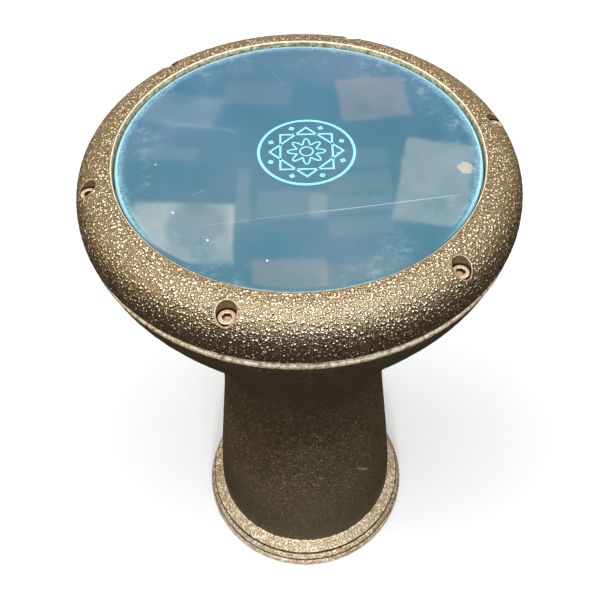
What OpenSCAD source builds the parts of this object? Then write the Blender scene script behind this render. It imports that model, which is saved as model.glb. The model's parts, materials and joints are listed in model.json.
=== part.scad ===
// Darbuka: a goblet drum of cast aluminium, with a screw-tensioned synthetic head.
// The foot stands on z = 0 and +Z is the drum's own axis, towards the head.
// Revolved pieces are drawn as outlines of [radius, height] points.

/* [Body] */
// Height from the floor to the tuning ring's inner lip
overall_h = 435; // [400:5:470]
// Wall thickness of the castings
wall = 5.5; // [4:0.5:6]
// Outer radius of the neck where it is narrowest
neck_r = 66; // [60:0.5:70]
// Height of the joint between the bowl casting and the neck casting
joint_z = 200; // [180:5:215]
// Height at which the bowl starts to flare out
flare_z = 230; // [228:2:246]
// Outer radius of the rim that the bowl carries under the tuning ring
flange_r = 136.7; // [135.5:0.1:137.5]

/* [Foot] */
// Largest radius of the foot ring
foot_r = 97.8; // [96:0.2:102]
// Height of the foot ring
foot_h = 26.1; // [24:0.1:30]
// Outer radius of the neck's lower end, inside the foot ring
neck_foot_r = 82.6; // [80:0.1:84]

/* [Drumhead] */
// Radius at which the film turns down over the bearing edge
head_r = 110.9; // [110.4:0.1:111.2]
// Thickness of the film
film_t = 0.5; // [0.4:0.1:0.8]
// How far the film lies below the tuning ring's lip
lip_rise = 2.8; // [2.5:0.1:4.5]

/* [Tuning ring] */
// Largest radius of the tuning ring
ring_r = 138; // [137:0.2:141]
// Radius of the tuning ring's inner lip
lip_r = 112.4; // [112.2:0.1:113]
// Drop from the lip to the widest part of the ring
belly_drop = 27.3; // [26:0.1:29]
// Drop from the lip to the underside of the ring
ring_drop = 31.5; // [31:0.1:33]
// Open gap between the ring and the bowl's rim, which is the tuning travel
tuning_gap = 1.8; // [1.6:0.1:3]

/* [Screws] */
// Number of tuning screws
bolt_count = 6; // [4:1:8]
// Radius of the circle that the screws stand on
bolt_circle_r = 127.5; // [127:0.1:128]
// Angle of the first screw about the drum's axis
bolt_phase = -107.7; // [-180:0.1:180]
// Length of a screw below its head
bolt_length = 25; // [22:1:26]

/* [Hidden] */
$fn = 144;
curve_steps = 22;

// Heights that follow from the driving dimensions
film_top_z = overall_h - lip_rise;
bearing_z = film_top_z - film_t;
belly_z = overall_h - belly_drop;
ring_bottom_z = overall_h - ring_drop;
rim_z = ring_bottom_z - tuning_gap;

// Bearing wall: the upright that the film is stretched over
bearing_outer_r = head_r - 1.1;
bearing_inner_r = bearing_outer_r - wall;
bearing_round = 2.2;
shelf_t = 7;
rim_t = 2.6;
rim_step = 1.3;

// Drumhead: the hoop is a channel, open at the top, that holds the film's edge in resin
film_skirt = 12;
film_clear = 0.5;
hoop_inner_r = lip_r - 1.1;
hoop_w = 7;
hoop_h = 10;
hoop_wall = 1.2;
hoop_top_z = overall_h - 9.8;
resin_drop = 0.8;

// Tuning ring
lip_round = 1;
crown_power = 0.85;
tuck_r = 128.8;
hoop_room = 0.9;

// Screws: M6 socket head, with a 5 mm hexagon
shank_r = 3;
head_screw_r = 4.9;
head_screw_h = 6;
hex_across = 5;
hex_depth = 3.2;
screw_chamfer = 0.6;
seat_z = overall_h - 14;
counterbore_r = 5.5;
hole_r = 3.3;
boss_r = 8.2;
insert_r = 4;
insert_l = 10;
insert_bore_r = 3.05;
pocket_z = rim_z - insert_l - 1.5;
bowl_boss_z = pocket_z - 2.3;

// Joint between the castings: the neck's spigot stands inside the bowl
spigot_h = 12;
spigot_r = neck_r - 2.8;
seat_h = 3;
slack = 0.01;

// Side curves, each a cubic: the bowl's from its rim to its straight throat, and the neck's down to the foot
bowl_curve = [
    [flange_r - rim_step, rim_z - rim_t],
    [flange_r - rim_step + 2.6, rim_z - rim_t - 28],
    [neck_r, flare_z + 55],
    [neck_r, flare_z]
];
neck_curve = [
    [neck_r, joint_z],
    [neck_r + 0.9, joint_z - 22],
    [neck_foot_r + 0.5, foot_h + 30],
    [neck_foot_r, foot_h]
];

function cubic(p, t) =
    pow(1 - t, 3) * p[0] + 3 * pow(1 - t, 2) * t * p[1] + 3 * (1 - t) * t * t * p[2] + t * t * t * p[3];

function cubic_slope(p, t) =
    3 * pow(1 - t, 2) * (p[1] - p[0]) + 6 * (1 - t) * t * (p[2] - p[1]) + 3 * t * t * (p[3] - p[2]);

// A point beside the curve, on the side of the drum's axis
function cubic_inside(p, t, depth) =
    let (s = cubic_slope(p, t)) cubic(p, t) + depth / norm(s) * [s[1], -s[0]];

// Quarter of a rounded shape, from above its corner [r0, z1] out to [r1, z0]
function quarter(r0, z0, r1, z1, power, steps) =
    [for (i = [0:steps]) let (a = 90 * i / steps)
        [r0 + (r1 - r0) * pow(sin(a), power), z0 + (z1 - z0) * pow(cos(a), power)]];

// A bulging line from a to b, which stands proud of the straight one by rise
function bead(a, b, rise, steps) =
    let (d = b - a, n = [-d[1], d[0]] / norm(d))
    [for (i = [0:steps]) a + d * i / steps + n * rise * sin(180 * i / steps)];

module at_bolt(i) {
    rotate([0, 0, bolt_phase + 360 * (i - 1) / bolt_count])
        translate([bolt_circle_r, 0, 0])
            children();
}

module at_all_bolts() {
    for (i = [1:bolt_count])
        at_bolt(i) children();
}

// The upper casting, with its bearing wall, shelf, rim and screw bosses
module bowl() {
    outer = [for (i = [0:curve_steps]) cubic(bowl_curve, i / curve_steps)];
    inner_top = 0.07;
    inner = [for (i = [0:curve_steps])
        cubic_inside(bowl_curve, 1 - (1 - inner_top) * i / curve_steps, wall)];
    bearing_edge = quarter(
        bearing_outer_r - bearing_round, bearing_z - bearing_round, bearing_outer_r, bearing_z, 1, 6
    );
    color([0.20, 0.18, 0.13])
    difference() {
        rotate_extrude()
            polygon(concat(
                [[0, joint_z], [0, bearing_z]],
                bearing_edge,
                [
                    [bearing_outer_r, rim_z],
                    [flange_r - 0.7, rim_z],
                    [flange_r, rim_z - 0.7],
                    [flange_r, rim_z - rim_t]
                ],
                outer,
                [[neck_r, joint_z]]
            ));
        difference() {
            rotate_extrude()
                polygon(concat(
                    [
                        [0, joint_z - 1],
                        [spigot_r, joint_z - 1],
                        [spigot_r, joint_z + spigot_h],
                        [neck_r - wall, joint_z + spigot_h]
                    ],
                    inner,
                    [
                        [bearing_inner_r + 10, rim_z - shelf_t],
                        [bearing_inner_r, rim_z - shelf_t + 3],
                        [bearing_inner_r, bearing_z + 1],
                        [0, bearing_z + 1]
                    ]
                ));
            at_all_bolts()
                translate([0, 0, bowl_boss_z])
                    cylinder(r = boss_r, h = 30);
        }
        at_all_bolts()
            translate([0, 0, pocket_z])
                cylinder(r = insert_r, h = 20);
    }
}

// The lower casting: a tapered tube with a spigot at its top
module neck() {
    outer = [for (i = [0:curve_steps]) cubic(neck_curve, i / curve_steps)];
    inner = [for (i = [0:curve_steps]) cubic_inside(neck_curve, 1 - i / curve_steps, wall)];
    color([0.21, 0.18, 0.13])
    rotate_extrude()
        polygon(concat(
            [[spigot_r, joint_z + spigot_h], [spigot_r, joint_z]],
            outer,
            [[neck_foot_r, seat_h], [neck_foot_r - wall, seat_h]],
            inner,
            [[neck_r - wall, joint_z + spigot_h]]
        ));
}

// The stepped ring that the drum stands on, with two turned grooves
module foot_ring() {
    groove_1 = [foot_r - 5.4, foot_h - 6.2];
    groove_2 = [foot_r - 2.7, foot_h - 14.3];
    base_r = foot_r - 1.4;
    color([0.72, 0.62, 0.48])
    rotate_extrude()
        polygon(concat(
            [[neck_foot_r - wall, 0], [neck_foot_r - wall, seat_h], [neck_foot_r, seat_h]],
            bead([neck_foot_r, foot_h], groove_1 + [-0.5, 0.4], 0.5, 6),
            [groove_1 + [-1, -0.9]],
            bead(groove_1 + [0.2, -1], groove_2 + [0, 0.6], 0.9, 6),
            [groove_2 + [-1.1, -0.1]],
            bead(groove_2 + [0.4, -0.8], [base_r, 0.8], 1.4, 8),
            [[base_r - 0.8, 0]]
        ));
}

// The film: a flat disc whose edge turns down outside the bearing wall
module drumhead_film() {
    skirt_z = film_top_z - film_skirt;
    bend = bearing_round + film_t;
    inner_r = head_r - film_clear;
    color([0.36, 0.56, 0.68])
    rotate_extrude()
        polygon(concat(
            [[0, bearing_z], [0, film_top_z]],
            quarter(head_r - bend, film_top_z - bend, head_r, film_top_z, 1, 8),
            [[head_r, skirt_z], [inner_r, skirt_z]],
            [for (i = [0:8]) quarter(
                inner_r - bearing_round, bearing_z - bearing_round, inner_r, bearing_z, 1, 8)[8 - i]]
        ));
}

// The metal hoop round the film's edge
module head_hoop() {
    outer_r = hoop_inner_r + hoop_w;
    bottom_z = hoop_top_z - hoop_h;
    color([0.72, 0.73, 0.75])
    rotate_extrude()
        polygon([
            [hoop_inner_r, bottom_z],
            [outer_r, bottom_z],
            [outer_r, hoop_top_z],
            [outer_r - hoop_wall, hoop_top_z],
            [outer_r - hoop_wall, bottom_z + hoop_wall],
            [hoop_inner_r + hoop_wall, bottom_z + hoop_wall],
            [hoop_inner_r + hoop_wall, hoop_top_z],
            [hoop_inner_r, hoop_top_z]
        ]);
}

// The cast resin that fills the hoop's channel
module hoop_resin() {
    inner_r = hoop_inner_r + hoop_wall;
    outer_r = hoop_inner_r + hoop_w - hoop_wall;
    bottom_z = hoop_top_z - hoop_h + hoop_wall;
    color([0.82, 0.76, 0.58])
    rotate_extrude()
        translate([inner_r, bottom_z])
            square([outer_r - inner_r, hoop_top_z - resin_drop - bottom_z]);
}

// The hollow between the ring's lip and its crown, open below and crossed by the bosses
module ring_channel() {
    difference() {
        rotate_extrude()
            polygon([
                [tuck_r - 5.8, ring_bottom_z - 1],
                [ring_r - 5.6, ring_bottom_z - 1],
                [ring_r - 5.6, belly_z + 1],
                [ring_r - 8.5, belly_z + 9],
                [tuck_r - 5.8, belly_z + 13]
            ]);
        at_all_bolts()
            translate([0, 0, ring_bottom_z - 2])
                cylinder(r = boss_r, h = 30);
    }
}

// The round-shouldered ring that pulls the head down
module tuning_ring() {
    hoop_side_r = hoop_inner_r + hoop_w + hoop_room;
    lip = [for (i = [0:4]) let (a = 90 * i / 4)
        [lip_r + lip_round * (1 - cos(a)), overall_h - lip_round * (1 - sin(a))]];
    crown = quarter(lip_r, belly_z, ring_r, overall_h, crown_power, curve_steps);
    tuck = quarter(tuck_r, belly_z, ring_r, ring_bottom_z, 0.9, 8);
    color([0.52, 0.46, 0.36])
    difference() {
        rotate_extrude()
            polygon(concat(
                [[lip_r, hoop_top_z]],
                lip,
                [for (p = crown) if (p[0] > lip_r + lip_round + 0.2) p],
                [for (i = [1:8]) tuck[8 - i]],
                [[hoop_side_r, ring_bottom_z], [hoop_side_r, hoop_top_z]]
            ));
        ring_channel();
        at_all_bolts() {
            translate([0, 0, ring_bottom_z - 1])
                cylinder(r = hole_r, h = ring_drop);
            translate([0, 0, seat_z])
                cylinder(r = counterbore_r, h = ring_drop);
        }
    }
}

// A socket head cap screw; its thread is drawn as a plain shank
module tuning_bolt(i) {
    color([0.62, 0.42, 0.33])
    at_bolt(i)
        difference() {
            rotate_extrude()
                polygon([
                    [0, seat_z - bolt_length],
                    [shank_r - screw_chamfer, seat_z - bolt_length],
                    [shank_r, seat_z - bolt_length + screw_chamfer],
                    [shank_r, seat_z],
                    [head_screw_r, seat_z],
                    [head_screw_r, seat_z + head_screw_h - screw_chamfer],
                    [head_screw_r - screw_chamfer, seat_z + head_screw_h],
                    [0, seat_z + head_screw_h]
                ]);
            translate([0, 0, seat_z + head_screw_h - hex_depth])
                cylinder(r = hex_across / 2 / cos(30), h = hex_depth + 1, $fn = 6);
        }
}

// A steel bush set in the bowl's shelf for the screw to turn in
module threaded_insert(i) {
    color([0.45, 0.46, 0.48])
    at_bolt(i)
        translate([0, 0, rim_z - insert_l])
            difference() {
                cylinder(r = insert_r, h = insert_l);
                translate([0, 0, -slack])
                    cylinder(r = insert_bore_r, h = insert_l + 2 * slack);
            }
}

bowl();
neck();
foot_ring();
drumhead_film();
head_hoop();
hoop_resin();
tuning_ring();
for (i = [1:bolt_count]) {
    tuning_bolt(i);
    threaded_insert(i);
}
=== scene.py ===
"""Looks of a darbuka: hammertone castings, a glossy blue film head with a printed rosette, and rusty screws.

Lengths are in metres, in the CAD frame: +Z is the drum's axis and the foot stands on z = 0. Turned pieces are
revolved from outlines of (radius, height) points whose ends come from the CAD nodes' boxes.
"""

import json
import math

import bpy
import numpy as np
from mathutils import Matrix, Vector

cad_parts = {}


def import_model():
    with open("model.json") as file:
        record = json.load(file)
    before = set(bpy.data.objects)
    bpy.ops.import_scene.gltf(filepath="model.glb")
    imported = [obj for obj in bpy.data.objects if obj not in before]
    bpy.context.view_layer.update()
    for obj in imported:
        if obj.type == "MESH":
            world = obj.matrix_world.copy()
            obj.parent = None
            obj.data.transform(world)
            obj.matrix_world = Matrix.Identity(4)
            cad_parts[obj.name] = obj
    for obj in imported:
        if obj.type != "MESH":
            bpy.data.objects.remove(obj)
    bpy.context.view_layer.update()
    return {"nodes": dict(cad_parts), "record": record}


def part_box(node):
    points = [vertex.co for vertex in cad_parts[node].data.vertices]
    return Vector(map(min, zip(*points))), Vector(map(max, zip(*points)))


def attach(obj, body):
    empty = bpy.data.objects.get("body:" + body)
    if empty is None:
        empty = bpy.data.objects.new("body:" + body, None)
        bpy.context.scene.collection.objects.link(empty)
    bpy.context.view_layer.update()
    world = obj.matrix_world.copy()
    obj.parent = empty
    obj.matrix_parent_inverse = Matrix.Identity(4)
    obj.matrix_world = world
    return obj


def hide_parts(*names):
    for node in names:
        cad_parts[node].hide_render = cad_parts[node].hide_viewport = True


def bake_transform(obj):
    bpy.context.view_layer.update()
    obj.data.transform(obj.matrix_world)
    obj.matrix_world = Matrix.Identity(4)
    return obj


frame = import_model()

MM = 0.001
SCREWS = sorted(n for n in frame["nodes"] if n.startswith("tuning_bolt_"))
INSERTS = sorted(n for n in frame["nodes"] if n.startswith("threaded_insert_"))

# Places that the CAD nodes give
ring_low, ring_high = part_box("tuning_ring")
bowl_low, bowl_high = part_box("bowl")
neck_low, neck_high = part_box("neck")
foot_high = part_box("foot_ring")[1]
film_low, film_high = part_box("drumhead_film")
hoop_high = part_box("head_hoop")[1]
insert_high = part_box(INSERTS[0])[1]
screw_low, screw_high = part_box(SCREWS[0])

RING_R = ring_high.x
LIP_Z = ring_high.z
RING_BOTTOM_Z = ring_low.z
HOOP_R = hoop_high.x
HOOP_TOP_Z = hoop_high.z
FILM_Z = film_high.z
FILM_R = film_high.x
SKIRT_Z = film_low.z
RIM_R = bowl_high.x
RIM_Z = insert_high.z
JOINT_Z = bowl_low.z
BEARING_Z = bowl_high.z
NECK_TOP_Z = neck_high.z
SEAT_H = neck_low.z
FOOT_R = foot_high.x
FOOT_H = foot_high.z
SCREW_TOP_Z = screw_high.z
SCREW_TIP_Z = screw_low.z

# Sizes inside those boxes, as in the CAD model
WALL = 5.5 * MM
LIP_R = 112.4 * MM
LIP_ROUND = 1 * MM
BELLY_DROP = 27.3 * MM
TUCK_R = 128.8 * MM
CROWN_POWER = 0.85
TUCK_POWER = 0.9
HOOP_ROOM = 0.9 * MM
SCREW_SEAT_Z = SCREW_TOP_Z - 6 * MM
SCREW_CIRCLE_R = 127.5 * MM
COUNTERBORE_R = 5.5 * MM
SCREW_HOLE_R = 3.3 * MM
BOSS_R = 8.2 * MM
INSERT_R = 4 * MM
POCKET_Z = RIM_Z - 11.5 * MM
NECK_R = 66 * MM
SPIGOT_R = NECK_R - 2.8 * MM
SPIGOT_TOP_Z = JOINT_Z + 12 * MM
FLARE_Z = 230 * MM
NECK_FOOT_R = 82.6 * MM
RIM_T = 2.6 * MM
RIM_STEP = 1.3 * MM
BEARING_R = FILM_R - 1.1 * MM
BEND_R = 1.5 * MM
FILM_T = 0.5 * MM

# How far apart the paint's pebbles are, and the slow swell under the dark paint
RING_PITCH = 2.2 * MM
FOOT_PITCH = 3.4 * MM
DARK_PITCH = 2.1 * MM
SWELL_PITCH = 4.2 * MM

# The dark paint's pale flakes crowd within this reach of this height: painted glints where the front light
# catches them
FLAKE_GLINTS_Z = 160 * MM
FLAKE_GLINTS_REACH = 90 * MM

# Grooves turned in the foot ring, as (radius, height)
GROOVES = (FOOT_R - 5.4 * MM, FOOT_H - 6.2 * MM), (FOOT_R - 2.7 * MM, FOOT_H - 14.3 * MM)

# Wear of the film in plan, in mm: scratches as (start, end, width, strength), white specks as (place, radius)
FILM_SCRATCHES = [
    ((-62, -62), (30, -49), 0.4, 0.12),
    ((6, -53), (98, -40), 0.4, 0.35),
    ((-63, -37), (-54, -31), 0.4, 0.16),
    ((-20, 90), (-7, 63), 0.35, 0.07),
    ((56, -34), (62, -27), 0.35, 0.08),
]
FILM_SPECKS = [((-72, -50), 0.7), ((-51, -72), 0.75), ((-18, -88), 0.7), ((24, -2), 0.5), ((-86, -9), 0.5)]

# The room's reflection on the film, in mm in the film's own plane: patches as (x, y, half width, half height,
# turn in degrees, light, softness of the edge) and darker rounds as (x, y, radius, share of light left)
WARM = np.array([2.4, 2.0, 1.45])
BEIGE = np.array([2.4, 1.2, 0.35])
ROOM_PATCHES = [
    (-8, 90, 62, 20, -3, 0.12 * BEIGE, 8),
    (-75, 44, 26, 16, -15, 0.5 * WARM, 3),
    (-62, 27, 24, 0.7, -15, 0.9 * WARM, 0.7),
    (-25, 58, 22, 12, -2, 0.35 * BEIGE, 3),
    (49, 51, 22, 21, 4, 0.85 * BEIGE, 1.5),
    (-78, 0, 17, 6, -2, 0.4 * WARM, 2),
    (-66, -66, 29, 23, -1, 1.7 * WARM, 1.2),
    (-88, -66, 14, 23, -1, 0.7 * WARM, 5),
    (-38, -68, 1.2, 24, 3, 0.8 * WARM, 0.8),
    (-32, -38, 4, 23, 1, 0.5 * WARM, 2),
    (-4, -45, 20, 11, 0, 0.45 * WARM, 2),
    (11, -47, 5, 8, 0, 0.7 * WARM, 1.5),
    (-6, -98, 20, 11, -1, 1.0 * BEIGE, 1.5),
    (36, -100, 26, 10, 4, 0.6 * BEIGE, 3),
    (36, -7, 18, 9, 3, 0.25 * WARM, 1),
    (36, -28, 18, 8, 3, 0.32 * WARM, 1),
    (35, -46, 18, 7.5, 3, 0.38 * WARM, 1),
    (34, -63, 18, 7, 3, 0.42 * WARM, 1),
    (79, -29, 20.5, 36, -13, 1.3 * WARM, 1.5),
]
ROOM_SHADES = [
    (-59, -60, 17, 0.58), (-60, -44, 6, 0.6), (-53, -80, 7, 0.6),
    (42, 40, 5, 0.6), (78, -50, 8, 0.6), (-74, 62, 13, 0.5),
]

# The camera's place, its turns in degrees and its lens in mm
CAMERA_AT = Vector((0, -0.3678, 0.7468))
CAMERA_DOWN, CAMERA_YAW, CAMERA_ROLL = 51.29, 0.19, -1.43
CAMERA_LENS = 46.95

# Points nearer to each other than this are one point
SAME = 1e-7


# ---- outlines and meshes


def quarter(r0, z0, r1, z1, power=1.0):
    """Quarter of a rounded shape, from (r0, z1) out to (r1, z0)."""
    steps = 40
    turns = [math.pi / 2 * i / steps for i in range(steps + 1)]
    return [
        (r0 + (r1 - r0) * max(math.sin(a), 0) ** power, z0 + (z1 - z0) * max(math.cos(a), 0) ** power)
        for a in turns
    ]


def cubic(a, b, c, d, inside=0.0, start=0.0):
    """A cubic curve from a to d, or the line beside it, inside metres nearer to the drum's axis.

    start leaves out the curve's first part."""
    steps = 80
    a, b, c, d = (np.array(p, float) for p in (a, b, c, d))
    points = []
    for t in np.linspace(start, 1, steps + 1):
        at = (1 - t) ** 3 * a + 3 * (1 - t) ** 2 * t * b + 3 * (1 - t) * t * t * c + t**3 * d
        slope = 3 * (1 - t) ** 2 * (b - a) + 6 * (1 - t) * t * (c - b) + 3 * t * t * (d - c)
        points.append(tuple(at + inside / np.linalg.norm(slope) * np.array([slope[1], -slope[0]])))
    return points


def bead(a, b, rise):
    """A line from a to b that bulges by rise."""
    steps = 16
    a, b = np.array(a, float), np.array(b, float)
    along = b - a
    out = np.array([-along[1], along[0]]) / np.linalg.norm(along)
    shares = [i / steps for i in range(steps + 1)]
    return [tuple(a + along * share + out * rise * math.sin(math.pi * share)) for share in shares]


def walls(start, *runs):
    """Straight stretches from start through the corners of runs, which are (spacing, corner)."""
    corners = [start] + [corner for _, corner in runs]
    return [([a, b], spacing, 0) for a, b, (spacing, _) in zip(corners, corners[1:], runs)]


def resample(points, spacing):
    """The polyline's points, spaced evenly, at most spacing mm apart."""
    points = np.array(points, float)
    lengths = np.r_[0, np.cumsum(np.linalg.norm(np.diff(points, axis=0), axis=1))]
    count = max(math.ceil(lengths[-1] / (spacing * MM)), 1)
    places = np.linspace(0, lengths[-1], count + 1)
    return np.stack([np.interp(places, lengths, points[:, k]) for k in (0, 1)], 1)


def outline(*stretches):
    """One outline from stretches of (points, spacing, relief).

    relief is how strongly the paint's pebbles rise there."""
    points, relief = [], []
    for line, spacing, weight in stretches:
        for p in resample(line, spacing):
            if points and math.dist(points[-1], p) < SAME:
                relief[-1] = min(relief[-1], weight)
                continue
            points.append(tuple(p))
            relief.append(weight)
    if math.dist(points[0], points[-1]) < SAME:
        points.pop()
        relief.pop()
    return points, relief


def new_object(name, data):
    obj = bpy.data.objects.new(name, data)
    bpy.context.scene.collection.objects.link(obj)
    return obj


def mesh_object(name, vertices, faces, relief=None):
    mesh = bpy.data.meshes.new(name)
    mesh.from_pydata(vertices, [], faces)
    if relief is not None:
        mesh.attributes.new("relief", "FLOAT", "POINT").data.foreach_set("value", relief)
    mesh.update()
    return new_object(name, mesh)


def vertex_places(obj):
    places = np.empty(len(obj.data.vertices) * 3, np.float32)
    obj.data.vertices.foreach_get("co", places)
    return places.reshape(-1, 3)


def set_vertex_places(obj, places):
    obj.data.vertices.foreach_set("co", places.astype(np.float32).ravel())


def vertex_relief(obj):
    relief = np.empty(len(obj.data.vertices), np.float32)
    obj.data.attributes["relief"].data.foreach_get("value", relief)
    return relief


def revolve(name, shape, columns, closed=True):
    """Turns an outline round the drum's axis. An open outline starts and ends on the axis."""
    points, relief = shape
    points = np.array(points)
    area = np.sum(points[:, 0] * np.roll(points[:, 1], -1) - np.roll(points[:, 0], -1) * points[:, 1])
    if area < 0:
        points, relief = points[::-1], relief[::-1]
    turns = np.arange(columns) * 2 * math.pi / columns
    vertices, weights, rows = [], [], []
    for (r, z), weight in zip(points, relief):
        first = len(vertices)
        if r < SAME:
            vertices.append((0.0, 0.0, z))
            rows.append([first] * columns)
            weights.append(weight)
            continue
        vertices += [(r * math.cos(a), r * math.sin(a), z) for a in turns]
        rows.append(list(range(first, first + columns)))
        weights += [weight] * columns
    faces = []
    last = len(rows) if closed else len(rows) - 1
    for i in range(last):
        low, high = rows[i], rows[(i + 1) % len(rows)]
        for j in range(columns):
            k = (j + 1) % columns
            corners = [low[j], low[k], high[k], high[j]]
            face = [c for n, c in enumerate(corners) if c != corners[n - 1]]
            if len(face) > 2:
                faces.append(face)
    return mesh_object(name, vertices, faces, weights)


def smooth(obj, sharp_angle=50):
    """Smooth shading, with edges sharper than this angle kept sharp."""
    obj.data.shade_smooth()
    obj.data.set_sharp_from_angle(angle=math.radians(sharp_angle))
    return obj


def bake_modifiers(obj):
    """Gives obj the mesh that its modifiers make, and removes them."""
    depsgraph = bpy.context.evaluated_depsgraph_get()
    depsgraph.update()
    mesh = bpy.data.meshes.new_from_object(obj.evaluated_get(depsgraph))
    obj.modifiers.clear()
    obj.data = mesh
    return obj


def combine(obj, other, operation):
    """Joins other to obj, cuts it out or keeps what both fill, and removes other."""
    modifier = obj.modifiers.new("combine", "BOOLEAN")
    modifier.object = other
    modifier.operation = operation
    modifier.solver = "EXACT"
    bake_modifiers(obj)
    bpy.data.objects.remove(other)
    return obj


def screw_places():
    """Centre of each screw in plan, and its angle about the drum's axis."""
    places = []
    for name in SCREWS:
        low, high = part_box(name)
        centre = (low + high) / 2
        angle = math.atan2(centre.y, centre.x)
        places.append((SCREW_CIRCLE_R * math.cos(angle), SCREW_CIRCLE_R * math.sin(angle), angle))
    return places


def posts(name, layers, spacing=1):
    """Upright round posts at all the screws, in one object. layers are outline points from bottom to top."""
    columns = 72
    vertices, faces = [], []
    rows = resample(layers, spacing)
    for x, y, _ in screw_places():
        first = len(vertices)
        for r, z in rows:
            for j in range(columns):
                a = 2 * math.pi * j / columns
                vertices.append((x + r * math.cos(a), y + r * math.sin(a), z))
        for i in range(len(rows) - 1):
            for j in range(columns):
                k = (j + 1) % columns
                low, high = first + i * columns, first + (i + 1) * columns
                faces.append([low + j, low + k, high + k, high + j])
        faces.append([first + j for j in reversed(range(columns))])
        top = first + (len(rows) - 1) * columns
        faces.append([top + j for j in range(columns)])
    return mesh_object(name, vertices, faces)


# ---- node trees


class Tree:
    """A node tree, with short calls that add a node and join it up."""

    def __init__(self, tree):
        self.tree = tree

    def add(self, kind, inputs=None, **settings):
        node = self.tree.nodes.new(kind)
        for key, value in settings.items():
            setattr(node, key, value)
        for key, value in (inputs or {}).items():
            self.join(value, node.inputs[key])
        return node

    def join(self, value, socket):
        if isinstance(value, bpy.types.NodeSocket):
            self.tree.links.new(value, socket)
        else:
            socket.default_value = value

    def math(self, operation, a, b=0, clamp=False):
        return self.add("ShaderNodeMath", {0: a, 1: b}, operation=operation, use_clamp=clamp).outputs[0]

    def times(self, a, b):
        return self.math("MULTIPLY", a, b)

    def minus(self, a, b):
        return self.math("SUBTRACT", a, b)

    def plus(self, a, b):
        return self.math("ADD", a, b)

    def larger(self, a, b):
        return self.math("MAXIMUM", a, b)

    def vector(self, operation, a, b=(0, 0, 0), scale=None):
        node = self.add("ShaderNodeVectorMath", {0: a}, operation=operation)
        if scale is not None:
            self.join(scale, node.inputs["Scale"])
        else:
            self.join(b, node.inputs[1])
        return node.outputs["Value" if operation in ("LENGTH", "DOT_PRODUCT", "DISTANCE") else "Vector"]

    def noise(self, vector, size, detail=2, roughness=0.5):
        """Noise from 0 to 1 whose features are about size across."""
        inputs = {"Vector": vector, "Scale": 1 / size, "Detail": detail, "Roughness": roughness}
        return self.add("ShaderNodeTexNoise", inputs).outputs["Fac"]

    def drift(self, vector, size, detail, reach):
        """vector, moved by up to about half of reach, one way or another every size or so."""
        noise = self.add("ShaderNodeTexNoise", {"Vector": vector, "Scale": 1 / size, "Detail": detail})
        away = self.vector("SUBTRACT", noise.outputs["Color"], (0.5, 0.5, 0.5))
        return self.vector("ADD", vector, self.vector("SCALE", away, scale=reach))

    def cells(self, vector, pitch, randomness=1):
        """Cells round scattered points, which give the distance from the point and its random colour."""
        inputs = {"Vector": vector, "Scale": 1 / pitch, "Randomness": randomness}
        return self.add("ShaderNodeTexVoronoi", inputs).outputs

    def span(self, value, low, high, to_low=0, to_high=1, smoothly=True):
        """value from low to high, mapped to to_low to to_high."""
        node = self.add(
            "ShaderNodeMapRange",
            {"Value": value, "From Min": low, "From Max": high, "To Min": to_low, "To Max": to_high},
            interpolation_type="SMOOTHSTEP" if smoothly else "LINEAR",
        )
        return node.outputs["Result"]

    def ramp(self, value, *stops):
        """Colours between stops of (place, colour)."""
        node = self.add("ShaderNodeValToRGB", {"Fac": value})
        elements = node.color_ramp.elements
        while len(elements) < len(stops):
            elements.new(1)
        for element, (place, colour) in zip(elements, stops):
            element.position = place
            element.color = (*colour, 1)
        return node.outputs["Color"]

    def mix(self, factor, a, b, blend="MIX"):
        node = self.add("ShaderNodeMix", data_type="RGBA", blend_type=blend)
        self.join(factor, node.inputs[0])
        self.join((*a, 1) if isinstance(a, tuple) else a, node.inputs[6])
        self.join((*b, 1) if isinstance(b, tuple) else b, node.inputs[7])
        return node.outputs[2]

    def tinted(self, colour, tint):
        return self.mix(1, colour, tint, "MULTIPLY")

    def pebbles(self, vector, pitch):
        """Height from 0 to 1 of the paint's round pebbles, which are about pitch apart."""
        warped = self.drift(vector, pitch * 1.6, 1, pitch * 0.25)
        return self.span(self.cells(warped, pitch, 0.9)["Distance"], 0.52, 0.06)


def srgb(r, g, b):
    """A screen colour, 0 to 255, as the linear colour that shaders use."""
    return tuple((c / 255 / 12.92) if c <= 10 else ((c / 255 + 0.055) / 1.055) ** 2.4 for c in (r, g, b))


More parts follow.
